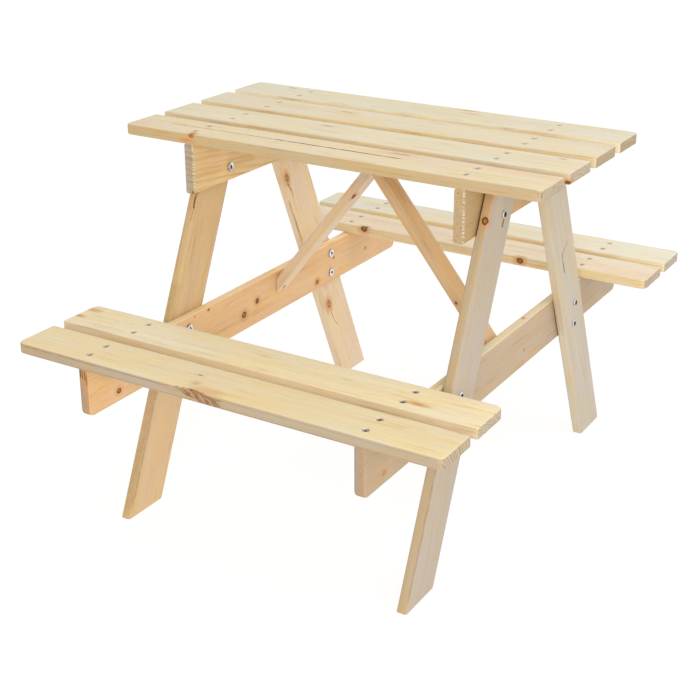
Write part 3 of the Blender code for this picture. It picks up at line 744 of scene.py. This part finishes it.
def pine_material(name, matrix, size, seed):
    """Pine for a piece whose grain runs along the X axis of the matrix."""
    grain, *marks = WOOD[name]
    material, s, shader = new_material(name)
    place = s.node("TexCoord").outputs
    away = s.vector("SUBTRACT", place["Object"], matrix.translation)
    axes = [column.xyz for column in matrix.col[:3]]
    point = s.joined(*[s.vector("DOT_PRODUCT", away, axis) for axis in axes])
    facing = [s.math("ABSOLUTE", s.vector("DOT_PRODUCT", place["Normal"], axis)) for axis in axes]
    chance = random.Random(seed)
    values = {
        "Point": point, "Facing end": facing[0], "Facing edge": facing[1],
        "Pith": Vector((0, *grain.pith)) * MM, "Tilt": Vector((0, *grain.tilt)),
        "Seed": Vector([chance.uniform(1, 9) for _ in range(3)]),
        "Ring width": grain.ring * MM, "Wander": grain.wander * MM,
        "Contrast": grain.contrast, "Lines": grain.lines,
        # The edge factor is painted light and shade on the faces across the grain.
        "Tint": grain.tint, "Edge tint": grain.edge,
        "Early": grain.early, "Late": grain.late, "Blush": grain.blush,
        "End below": grain.ends[0], "End above": grain.ends[1], "End rings": grain.end_rings,
        "Streak": add_streaks(s, point, marks), **add_knots(s, point, marks),
    }
    if grain.torn_ends:
        values["Torn"] = torn_fibres(s, point, size.x, size.z)
    for bark in of_kind(marks, Bark):
        shape = {"Place": Vector(bark.middle) * MM, "Shape": Vector(bark.shape) * MM}
        patch = s.group(BARK, Point=point, **shape)
        values.update({"Patch": patch["Patch"], "Patch color": patch["Color"]})
    pine = s.group(PINE, **values)
    s.surface(shader, pine["Color"], pine["Roughness"], pine["Height"])
    shader.inputs["Specular IOR Level"].default_value = 0.35
    return material


def zinc_material(name, colour, roughness, scratch, rim, hollow, hollow_top):
    """Bright zinc: fine turning marks, a cloudy film, and painted shade at the rim and in the recess.
    """
    material, s, shader = new_material(name)
    place = s.node("TexCoord").outputs["Object"]
    x, y, z = s.split(place)
    radius = s.math("SQRT", s.total(s.times(x, x), s.times(y, y)))
    rings = s.noise(s.joined(s.times(radius, 9000), s.times(z, 2500), 0), 1, 2)
    cloud = s.noise(place, 420, 3)
    film = s.fade(cloud, 0.42, 0.72)
    # Painted shade: the key recess and the rim of the head are darkened to near black and made less
    # metallic, patchily at the rim.
    inside = s.fall(radius, hollow, hollow + 0.15 * MM)
    recess = s.times(inside, s.fall(z, hollow_top - 0.4 * MM, hollow_top))
    rim_shade_patchiness = s.fade(cloud, 0.35, 0.6, 0.5, 0.9)
    recess_and_rim_shade = s.math("MAXIMUM", recess, s.times(s.fade(radius, rim - 0.9 * MM, rim), rim_shade_patchiness))
    tint = s.mix(s.times(film, 0.8), colour, [0.4 * part for part in colour])
    shade = s.total(0.9, s.times(rings, 0.2))
    tint = s.mix(1, tint, s.joined(shade, shade, shade), "MULTIPLY")
    tint = s.mix(s.times(recess_and_rim_shade, 0.93), tint, PAINTED_SHADE_BLACK)
    rough = s.total(roughness, s.times(film, 0.12), s.times(rings, 0.08), s.times(recess_and_rim_shade, 0.3))
    s.surface(shader, tint, rough, s.times(rings, scratch))
    s.feed(shader.inputs["Metallic"], s.fade(recess_and_rim_shade, 0, 1, 1, 0.3))
    return material


# Mesh making
def rounded_outline(corners, radii):
    """Rounds each corner of a convex anticlockwise outline by its radius; zero leaves it."""
    points = []
    for index, (corner, radius) in enumerate(zip(corners, radii)):
        here = Vector(corner)
        if not radius:
            points.append(here)
            continue
        back = (Vector(corners[index - 1]) - here).normalized()
        ahead = (Vector(corners[(index + 1) % len(corners)]) - here).normalized()
        half = back.angle(ahead) / 2
        middle = here + (back + ahead).normalized() * (radius / math.sin(half))
        start = here + back * (radius / math.tan(half)) - middle
        for step in range(CORNER_STEPS + 1):
            turn = Matrix.Rotation((math.pi - 2 * half) * step / CORNER_STEPS, 2)
            points.append(middle + turn @ start)
    return points


def rectangle(length, width):
    x, y = length / 2, width / 2
    return [(-x, -y), (x, -y), (x, y), (-x, y)]


def as_mesh(name, shape):
    bmesh.ops.recalc_face_normals(shape, faces=shape.faces)
    mesh = bpy.data.meshes.new(name)
    shape.to_mesh(mesh)
    shape.free()
    return mesh


def prism(outline, start, end, share=1):
    """An outline extruded from start to end along Z, where it is this share as wide."""
    shape = bmesh.new()
    face = shape.faces.new([shape.verts.new((x, y, start)) for x, y in outline])
    for item in bmesh.ops.extrude_face_region(shape, geom=[face])["geom"]:
        if isinstance(item, bmesh.types.BMVert):
            item.co = Vector((item.co.x * share, item.co.y * share, end))
    return shape


def runs_along_grain(edge):
    return abs((edge.verts[1].co - edge.verts[0].co).normalized().x) > 0.99


def plate(name, outline, thickness, rounding, sawn_ends=False):
    """Extrudes an outline in XY and rounds its arrises, but not those of sawn ends."""
    shape = prism(outline, -thickness / 2, thickness / 2)
    bmesh.ops.recalc_face_normals(shape, faces=shape.faces)
    flat = [face for face in shape.faces if abs(face.normal.z) > face.normal.xy.length]
    arrises = {edge for face in flat for edge in face.edges}
    if sawn_ends:
        arrises = {edge for edge in arrises if runs_along_grain(edge)}
    bmesh.ops.bevel(
        shape, geom=list(arrises), offset=rounding, offset_type="OFFSET",
        segments=EDGE_STEPS, profile=0.5, affect="EDGES",
    )
    return as_mesh(name, shape)


def turned(name, profile, steps=TURN_STEPS):
    """Revolves (radius, height) points about Z; the first and last lie on the axis."""
    shape = bmesh.new()
    rim = [shape.verts.new((radius, 0, height)) for radius, height in profile]
    edges = [shape.edges.new(ends) for ends in zip(rim, rim[1:])]
    bmesh.ops.spin(
        shape, geom=rim + edges, cent=(0, 0, 0), axis=(0, 0, 1),
        angle=2 * math.pi, steps=steps, use_merge=True,
    )
    bmesh.ops.remove_doubles(shape, verts=shape.verts, dist=SEAT_GAP / 100)
    return as_mesh(name, shape)


def tapered(name, outline, bottom, top, share):
    """Extrudes an outline from the top down to the bottom, where it is this share as wide."""
    return as_mesh(name, prism(outline, top, bottom, share))


def show(name, data, matrix):
    item = bpy.data.objects.new(name, data)
    bpy.context.scene.collection.objects.link(item)
    item.matrix_world = matrix
    return item


def cut(mesh, cutters):
    """Returns the mesh with the cutters, given as (mesh, matrix), taken away from it."""
    blank = show("blank", mesh, IN_PLACE)
    tools = [show("cutter", tool, matrix) for tool, matrix in cutters]
    for tool in tools:
        drill = blank.modifiers.new("cut", "BOOLEAN")
        drill.operation = "DIFFERENCE"
        drill.solver = "EXACT"
        drill.object = tool
    bpy.context.view_layer.update()
    graph = bpy.context.evaluated_depsgraph_get()
    finished = bpy.data.meshes.new_from_object(blank.evaluated_get(graph))
    finished.name = mesh.name
    for item in [blank, *tools]:
        bpy.data.objects.remove(item, do_unlink=True)
    return finished


def aimed(point, direction):
    """A matrix at the point whose Z axis points along the direction."""
    turn = Vector(direction).to_track_quat("Z", "Y").to_matrix().to_4x4()
    return Matrix.Translation(point) @ turn


def grain_matrix(middle, grain, thickness):
    """The frame of a piece: X along its grain, Y across it, Z through its thickness."""
    x = Vector(grain).normalized()
    z = Vector(thickness).normalized()
    turn = Matrix((x, z.cross(x), z)).transposed().to_4x4()
    return Matrix.Translation(middle) @ turn


def hole(diameter, depth):
    radius = diameter / 2
    profile = [(0, OVERRUN), (radius, OVERRUN), (radius, -depth), (0, -depth)]
    return turned("hole", profile, HOLE_STEPS)


def countersink(head, shank, depth):
    mouth = head / 2 + SEAT_GAP
    bore = shank / 2 + SEAT_GAP
    cone = [(mouth, OVERRUN), (mouth, 0), (bore, bore - mouth)]
    return turned("countersink", [(0, OVERRUN), *cone, (bore, -depth), (0, -depth)], HOLE_STEPS)


def bites(start, end, lengths, depths, seed):
    """Small hollows strung along a line, as one mesh to cut away from an arris."""
    chance = random.Random(seed)
    shape = bmesh.new()
    line = Vector(end) - Vector(start)
    turn = line.to_track_quat("X", "Z").to_matrix().to_4x4()
    reach = 0
    while reach < line.length:
        long, deep = chance.uniform(*lengths), chance.uniform(*depths)
        middle = Vector(start) + line.normalized() * (reach + long / 2)
        size = Matrix.Diagonal((long / 2, deep, deep * chance.uniform(0.6, 1.2), 1))
        place = Matrix.Translation(middle) @ turn @ size
        bmesh.ops.create_icosphere(shape, subdivisions=2, radius=1, matrix=place)
        reach += long * chance.uniform(1.05, 1.6)
    return as_mesh("bites", shape)


def paint(item, material):
    item.data.materials.clear()
    item.data.materials.append(material)


def dress(name, mesh, matrix, material, replaced):
    """Shows a finished piece in the place of its CAD node."""
    mesh.shade_smooth()
    mesh.set_sharp_from_angle(angle=SHARP_ANGLE)
    item = show(name, mesh, matrix)
    paint(item, material)
    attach(item, "root")
    if replaced:
        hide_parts(replaced)


# Boards
def dress_wood(name, mesh, matrix, size, seed):
    """Moves a piece from its own frame to the table's and gives it its own pine."""
    material = pine_material(name, matrix, size, seed)
    mesh.transform(matrix)
    dress(name + "_pine", mesh, IN_PLACE, material, name)


def corner_radii(name):
    """A row's outer corners are rounder than the others, in the order of rectangle()."""
    front = OUTER_CORNER_RADIUS if name in FRONT_OF_ROW else INNER_CORNER_RADIUS
    rear = OUTER_CORNER_RADIUS if name in REAR_OF_ROW else INNER_CORNER_RADIUS
    return [front, front, rear, rear]


def make_boards():
    screw = screw_mesh()
    chance = random.Random(SCREW_SEED)
    for seed, name in enumerate(name for name in WOOD if "_board_" in name):
        size = box_size(name)
        middle = box_centre(name)
        outline = rounded_outline(rectangle(size.x, size.y), corner_radii(name))
        blank = plate(name, outline, size.z, BOARD_EDGE_ROUNDING)
        carrier = "top_batten" if name.startswith("tabletop") else "seat_rail"
        places = [
            Vector((box_centre(f"{carrier}_{side}").x, across * SCREW_SPACING / 2, size.z / 2))
            for side in ("left", "right")
            for across in (-1, 1)
        ]
        drill = countersink(SCREW_HEAD, SCREW_SHANK, size.z + OVERRUN)
        cutters = [(drill, Matrix.Translation(place)) for place in places]
        if name == "bench_board_front_outer":
            cutters.append((bark_bites(size), IN_PLACE))
        mesh = cut(blank, cutters)
        dress_wood(name, mesh, Matrix.Translation(middle), size, seed)
        for number, place in enumerate(places, 1):
            seat = middle + place - Vector((0, 0, SCREW_SINK))
            spin = Matrix.Rotation(chance.uniform(0, math.pi / 2), 4, "Z")
            turn = Matrix.Translation(seat) @ spin
            dress(f"{name}_screw_{number}", screw, turn, SCREW_ZINC, None)


def bark_bites(size):
    """Hollows along the lower front arris of a board, where bark has come away."""
    start = Vector((BARK_START, -size.y / 2, -size.z / 2))
    end = Vector((BARK_END, -size.y / 2, -size.z / 2))
    return bites(start, end, BARK_BITE_LENGTHS, BARK_BITE_DEPTHS, BARK_SEED)


# Battens, rails and legs
def bolt_places(piece):
    """Middles of the bolts that go through this batten, rail or leg."""
    low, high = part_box(piece)
    side = piece.rsplit("_", 1)[1]
    bolts = [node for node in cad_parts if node.startswith("bolt_") and node.endswith(side)]
    middles = [box_centre(node) for node in bolts]
    return [here for here in middles if low.y < here.y < high.y and low.z < here.z < high.z]


def bores(matrix, places, diameter, thickness):
    """Drills through a piece's thickness at places given in the table's frame."""
    drill = hole(diameter, thickness + OVERRUN)
    middles = [matrix.inverted() @ place for place in places]
    return [(drill, Matrix.Translation((here.x, here.y, thickness / 2))) for here in middles]


def end_bites(size, seed):
    """Torn fibres along the inner arris of a batten's two sawn ends."""
    cutters = []
    for end in (-1, 1):
        low = Vector((end * size.x / 2, -size.y / 2, size.z / 2))
        high = low + Vector((0, size.y, 0))
        cutters.append((bites(low, high, END_BITE_LENGTHS, END_BITE_DEPTHS, seed + end), IN_PLACE))
    return cutters


def make_cross_pieces():
    for seed, side in enumerate(("left", "right")):
        for kind in ("top_batten", "seat_rail"):
            name = f"{kind}_{side}"
            box = box_size(name)
            size = Vector((box.y, box.z, box.x))
            matrix = grain_matrix(box_centre(name), (0, 1, 0), (1, 0, 0))
            cutters = bores(matrix, bolt_places(name), SLEEVE_BORE, size.z)
            outline = rectangle(size.x, size.y)
            if kind == "top_batten":
                blank = plate(name, outline, size.z, FRAME_EDGE_ROUNDING, sawn_ends=True)
                cutters += end_bites(size, END_SEED + 5 * seed)
            else:
                outline = rounded_outline(outline, [RAIL_CORNER_RADIUS, RAIL_CORNER_RADIUS, 0, 0])
                blank = plate(name, outline, size.z, FRAME_EDGE_ROUNDING)
            mesh = cut(blank, cutters)
            dress_wood(name, mesh, matrix, size, CROSS_SEED + seed)


def make_legs():
    foot_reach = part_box("leg_rear_left")[1].y
    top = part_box("leg_rear_left")[1].z
    splay = math.atan2(foot_reach - LEG_TOP_REACH, top)
    cut_width = LEG_WIDTH / math.cos(splay)
    corners = [
        (foot_reach, 0), (LEG_TOP_REACH, top),
        (LEG_TOP_REACH - cut_width, top), (foot_reach - cut_width, 0),
    ]
    for seed, (end, side) in enumerate(product(("front", "rear"), ("left", "right"))):
        name = f"leg_{end}_{side}"
        way = -1 if end == "front" else 1
        grain = (0, -way * math.sin(splay), math.cos(splay))
        matrix = grain_matrix(box_centre(name), grain, (1, 0, 0))
        outline = [(matrix.inverted() @ Vector((0, way * y, z))).xy for y, z in corners]
        thickness = box_size(name).x
        blank = plate(name, outline[::way], thickness, FRAME_EDGE_ROUNDING, sawn_ends=True)
        mesh = cut(blank, bores(matrix, bolt_places(name), BOLT_BORE, thickness))
        size = Vector((top / math.cos(splay), LEG_WIDTH, thickness))
        dress_wood(name, mesh, matrix, size, LEG_SEED + seed)


def make_braces():
    rail_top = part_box("seat_rail_right")[1].z
    batten_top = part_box("top_batten_right")[1].z
    foot_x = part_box("seat_rail_right")[0].x - SEAT_GAP
    foot_z = rail_top - BRACE_FOOT_DROP
    slope = math.atan2(batten_top - foot_z, foot_x + BRACE_TOP_REACH)
    corners = [
        (foot_x, foot_z - BRACE_THICKNESS / math.cos(slope)),
        (foot_x, foot_z),
        (-BRACE_TOP_REACH, batten_top),
        (-BRACE_TOP_REACH - BRACE_THICKNESS / math.sin(slope), batten_top),
    ]
    run = Vector((math.cos(slope), -math.sin(slope))) * BRACE_SCREW_INSET
    seats = [Vector(corners[0]) - run, Vector(corners[3]) + run]
    drill = countersink(BRACE_SCREW_HEAD, BRACE_SCREW_SHANK, BRACE_SCREW_LENGTH)
    for side, side_name in ((-1, "left"), (1, "right")):
        name = f"brace_{side_name}"
        width = box_size(name).y
        outward = (-side * math.sin(slope), 0, -math.cos(slope))
        grain = (-side * math.cos(slope), 0, math.sin(slope))
        matrix = grain_matrix(box_centre(name), grain, (0, -1, 0))
        outline = [(matrix.inverted() @ Vector((side * x, 0, z))).xy for x, z in corners]
        blank = plate(name, outline[::side], width, BRACE_EDGE_ROUNDING)
        places = [aimed((side * x, box_centre(name).y, z), outward) for x, z in seats]
        cutters = [(drill, matrix.inverted() @ place) for place in places]
        size = Vector((foot_x / math.cos(slope), BRACE_THICKNESS, width))
        mesh = cut(blank, cutters)
        dress_wood(name, mesh, matrix, size, BRACE_SEED + side)


# Fasteners
def plus_outline(arm, width):
    long, short = arm / 2, width / 2
    quarter = [Vector((long, -short)), Vector((long, short)), Vector((short, short))]
    return [
        Matrix.Rotation(turn * math.pi / 2, 2) @ point for turn in range(4) for point in quarter
    ]


def hexagon(flats):
    radius = flats / 2 / math.cos(math.pi / 6)
    turns = [index * math.pi / 3 for index in range(6)]
    return [(radius * math.cos(turn), radius * math.sin(turn)) for turn in turns]


def screw_mesh():
    """The board screw along Z: its slightly dished face is at the origin, with a cross recess."""
    edge, core = SCREW_HEAD / 2, SCREW_SHANK / 2
    face = [(0, -SCREW_DISH), (edge * 0.55, -SCREW_DISH * 0.8), (edge * 0.93, 0)]
    rim = [(edge, -0.08 * MM), (edge, -0.35 * MM)]
    shank = [(core, core - edge), (core * 0.8, -SCREW_LENGTH * 0.8), (0, -SCREW_LENGTH)]
    blank = turned("screw", face + rim + shank)
    arm, mouth = SCREW_HEAD * 0.62, OVERRUN / 4
    recess = tapered("recess", plus_outline(arm, arm * 0.24), -SCREW_HEAD * 0.26, mouth, 0.45)
    pocket = tapered("pocket", hexagon(arm * 0.46), -SCREW_HEAD * 0.24, mouth, 0.6)
    return cut(blank, [(recess, IN_PLACE), (pocket, Matrix.Rotation(0.3, 4, "Z"))])


def dome(diameter, height, rim):
    """Points of a domed head from its crown down to its seat, with a softened rim."""
    radius = diameter / 2
    crown = height - rim
    sphere = (radius**2 + crown**2) / (2 * crown)
    reach = math.asin(radius / sphere)
    points = []
    for step in range(DOME_STEPS + 1):
        turn = reach * step / DOME_STEPS
        points.append((sphere * math.sin(turn) * 0.985, height - sphere * (1 - math.cos(turn))))
    return points + [(radius, rim * 0.75), (radius, rim * 0.2), (radius * 0.985, 0)]


def headed_mesh(name, head, height, rim, shank, length, socket):
    """A domed head along Z with a plain shank below its seat and a key socket."""
    profile = [
        *dome(head, height, rim), (shank / 2, 0), (shank / 2, SHANK_BEVEL - length),
        (shank / 2 - SHANK_BEVEL, -length), (0, -length),
    ]
    key = tapered("key", hexagon(socket), KEY_FLOOR, height + OVERRUN, 0.94)
    top, throat = height + OVERRUN, height - KEY_BEVEL
    bevel = [(0, top), (socket / 2 + OVERRUN, top), (socket * 0.46, throat), (0, throat)]
    return cut(turned(name, profile), [(key, IN_PLACE), (turned("bevel", bevel), IN_PLACE)])


def dress_headed(node, mesh, height, out, material, spin):
    """Sets a domed head on the wood, with its crown where the CAD node's is."""
    low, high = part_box(node)
    middle = (low + high) / 2
    tip = high.x if out > 0 else low.x
    seat = Vector((tip - out * height, middle.y, middle.z))
    turn = aimed(seat, (out, 0, 0)) @ Matrix.Rotation(spin, 4, "Z")
    dress(node + "_zinc", mesh, turn, material, node)


def make_fasteners():
    chance = random.Random(BOLT_SEED)
    length = box_size("bolt_top_front_left").x - BOLT_HEAD_HEIGHT
    bolt = headed_mesh("bolt", BOLT_HEAD, BOLT_HEAD_HEIGHT, BOLT_RIM, BOLT_SHANK, length, BOLT_SOCKET)
    nut = headed_mesh("nut", NUT_HEAD, NUT_HEAD_HEIGHT, NUT_RIM, NUT_SLEEVE, NUT_COLLAR, NUT_SOCKET)
    for node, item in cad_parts.items():
        side = 1 if node.endswith("right") else -1
        spin = chance.uniform(0, math.pi / 3)
        if node.startswith("bolt_"):
            dress_headed(node, bolt, BOLT_HEAD_HEIGHT, side, BOLT_ZINC, spin)
        elif node.startswith("sleeve_nut_"):
            dress_headed(node, nut, NUT_HEAD_HEIGHT, -side, NUT_ZINC, spin)
        elif node.startswith("brace_screw"):
            paint(item, SCREW_ZINC)


# Studio
def make_floor():
    bpy.ops.mesh.primitive_plane_add(size=400)
    floor = bpy.context.object
    floor.name = "floor"
    material, s, shader = new_material("floor")
    s.feed_all(shader, {"Base Color": FLOOR_GREY, "Roughness": 0.9, "Specular IOR Level": 0})
    s.feed_all(shader, {"Emission Color": (1, 1, 1), "Emission Strength": FLOOR_GLOW})
    floor.data.materials.append(material)


def make_world():
    """A white dome, brighter overhead, from the right and from behind."""
    world = bpy.data.worlds.new("studio")
    bpy.context.scene.world = world
    world.use_nodes = True
    s = Shader(world.node_tree)
    x, y, z = s.split(s.node("TexCoord").outputs["Generated"])
    overhead = s.times(s.math("MAXIMUM", z, 0), 0.35)
    from_right = s.times(s.math("MAXIMUM", x, 0), 0.45)
    from_behind = s.times(s.math("MAXIMUM", y, 0), 0.8)
    back = world.node_tree.nodes["Background"]
    back.inputs["Color"].default_value = (1, 1, 1, 1)
    s.feed(back.inputs["Strength"], s.total(0.45, overhead, from_right, from_behind))


def make_light(name, place, target, size, power):
    light = bpy.data.lights.new(name, "AREA")
    light.shape = "DISK"
    light.size = size
    light.energy = power
    show(name, light, aimed(place, Vector(place) - Vector(target)))


def make_camera():
    """The photograph's camera, fitted to the table's edges."""
    picture = 696
    focal, right_shift, down_shift = 1321.1, 27.1, -72.3
    place = Vector((0.9155, -1.5723, 0.9861))
    yaw, pitch, roll = 0.53, -0.356, 0.004
    right = Vector((math.cos(yaw), math.sin(yaw), 0))
    level = Vector((-math.sin(yaw), math.cos(yaw), 0))
    ahead = level * math.cos(pitch) + Vector((0, 0, math.sin(pitch)))
    above = right.cross(ahead)
    turn = Matrix((right, above, -ahead)).transposed() @ Matrix.Rotation(roll, 3, "Z")
    data = bpy.data.cameras.new("camera")
    data.sensor_width = 36
    data.lens = focal * data.sensor_width / picture
    data.shift_x = -right_shift / picture
    data.shift_y = down_shift / picture
    camera = show("camera", data, Matrix.Translation(place) @ turn.to_4x4())
    bpy.context.scene.camera = camera


SCREW_ZINC = zinc_material(
    "zinc_screw", (0.5, 0.48, 0.56), 0.28, 0.02 * MM, SCREW_HEAD / 2, 3.3 * MM, -0.25 * MM
)
BOLT_ZINC = zinc_material(
    "zinc_bolt", (0.76, 0.75, 0.75), 0.18, 0.006 * MM, BOLT_HEAD / 2, 3.8 * MM, 3.2 * MM
)
NUT_ZINC = zinc_material(
    "zinc_nut", (0.88, 0.88, 0.89), 0.16, 0.006 * MM, NUT_HEAD / 2, 3 * MM, 2 * MM
)
make_camera()
make_boards()
make_cross_pieces()
make_legs()
make_braces()
make_fasteners()
make_floor()
make_world()
make_light("front_softbox", (1.2, -2.2, 1.2), (0, 0, 0.3), 1.2, 27)
make_light("top_softbox", (1.4, 0.2, 2.4), (0, 0, 0.3), 0.8, 8)
bpy.context.scene.view_settings.view_transform = "Standard"
